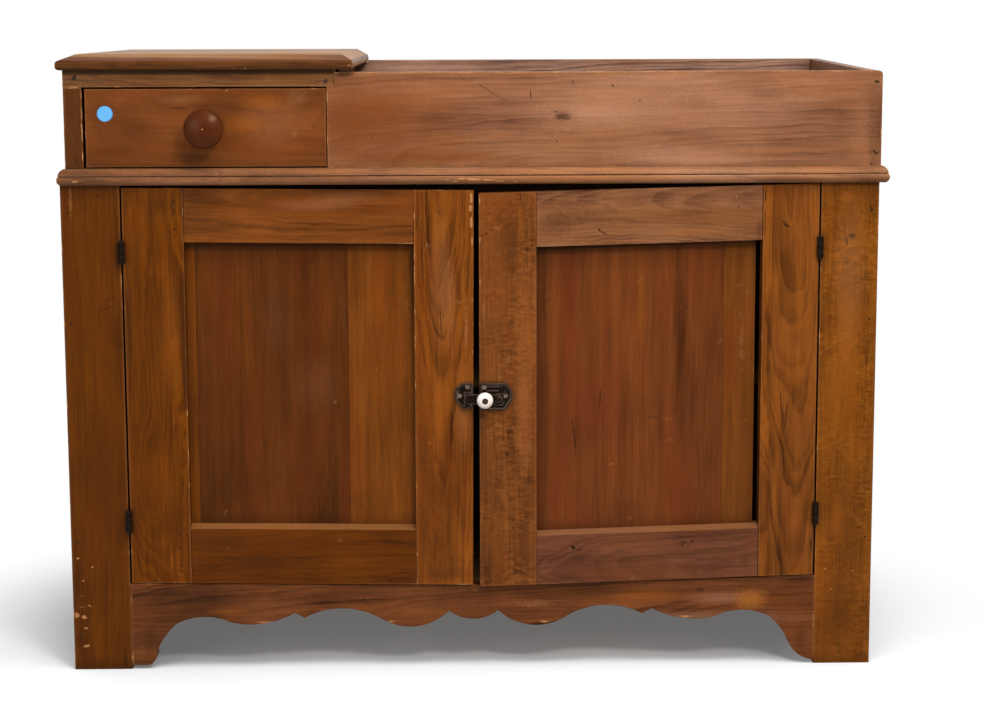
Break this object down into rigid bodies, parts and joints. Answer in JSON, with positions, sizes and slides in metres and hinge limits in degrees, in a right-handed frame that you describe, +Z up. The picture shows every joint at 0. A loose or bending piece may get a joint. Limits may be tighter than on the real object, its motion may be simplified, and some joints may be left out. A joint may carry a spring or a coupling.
{
  "type": "dry sink cabinet",
  "caption": "Country pine dry sink: an open well beside a drawer box with a turned knob, over a cupboard with framed doors, an iron latch and a scalloped apron.",
  "frame": {"origin": "on the floor, in the middle of the footprint: centred left to right between the tips of the waist moulding, and front to back between the tip of the drawer's knob and the back", "axes": "+X to the viewer's right along the front, +Y from the front to the back, +Z up"},
  "size_m": [1.168, 0.548, 0.884],
  "materials": {
    "stained_pine": "satin",
    "reddish_pine": "satin",
    "plain_pine": "matte",
    "black_iron": "satin",
    "steel": "dull",
    "porcelain": "gloss",
    "blue_paper": "matte"
  },
  "bodies": {
    "case": {"back_boards": "plain_pine", "case_floor": "plain_pine", "case_nails": "black_iron", "door_stop": "plain_pine", "drawer_end_board": "stained_pine", "drawer_guides": "plain_pine", "drawer_partition": "stained_pine", "drawer_rail": "stained_pine", "drawer_stile": "stained_pine", "hinge_case_leaves": "black_iron", "hinge_case_screws": "black_iron", "hinge_pins": "black_iron", "left_case_stile": "stained_pine", "left_side_board": "stained_pine", "middle_shelf": "plain_pine", "rail_screws": "steel", "right_case_stile": "stained_pine", "right_side_board": "stained_pine", "scalloped_apron": "stained_pine", "shelf_cleats": "plain_pine", "top_board": "stained_pine", "waist_moulding_front": "stained_pine", "waist_moulding_left": "stained_pine", "waist_moulding_right": "stained_pine", "well_back_board": "plain_pine", "well_floor": "plain_pine", "well_front_board": "stained_pine", "well_right_side": "stained_pine"},
    "drawer": {"drawer_back": "plain_pine", "drawer_bottom": "plain_pine", "drawer_front": "stained_pine", "drawer_knob": "stained_pine", "drawer_left_side": "plain_pine", "drawer_right_side": "plain_pine", "paper_dot": "blue_paper"},
    "left_door": {"keeper_screws": "black_iron", "latch_keeper": "black_iron", "left_door_bottom_rail": "stained_pine", "left_door_hinge_leaves": "black_iron", "left_door_hinge_screws": "black_iron", "left_door_hinge_stile": "stained_pine", "left_door_lock_stile": "stained_pine", "left_door_nails": "black_iron", "left_door_panel": "reddish_pine", "left_door_top_rail": "stained_pine"},
    "right_door": {"latch_pivot": "black_iron", "latch_plate": "black_iron", "latch_plate_screws": "black_iron", "right_door_bottom_rail": "stained_pine", "right_door_hinge_leaves": "black_iron", "right_door_hinge_screws": "black_iron", "right_door_hinge_stile": "stained_pine", "right_door_lock_stile": "stained_pine", "right_door_nails": "black_iron", "right_door_panel": "reddish_pine", "right_door_top_rail": "stained_pine"},
    "latch_bar": {"latch_bar": "black_iron", "latch_knob": "porcelain", "latch_knob_stud": "black_iron"}
  },
  "joints": [
    {"name": "drawer_slide", "type": "slide", "parent": "case", "child": "drawer", "axis": [0, -1, 0], "range_m": [0, 0.36]},
    {"name": "left_door_hinge", "type": "hinge", "parent": "case", "child": "left_door", "pos_m": [-0.4972, -0.2385, 0.413], "axis": [0, 0, -1], "range_deg": [-0.58, 160]},
    {"name": "right_door_hinge", "type": "hinge", "parent": "case", "child": "right_door", "pos_m": [0.4887, -0.2385, 0.413], "axis": [0, 0, 1], "range_deg": [0, 160]},
    {"name": "latch_lift", "type": "hinge", "parent": "right_door", "child": "latch_bar", "pos_m": [0.03363, -0.24536, 0.397], "axis": [-0.025, 0.9997, 0], "range_deg": [0, 25]}
  ]
}
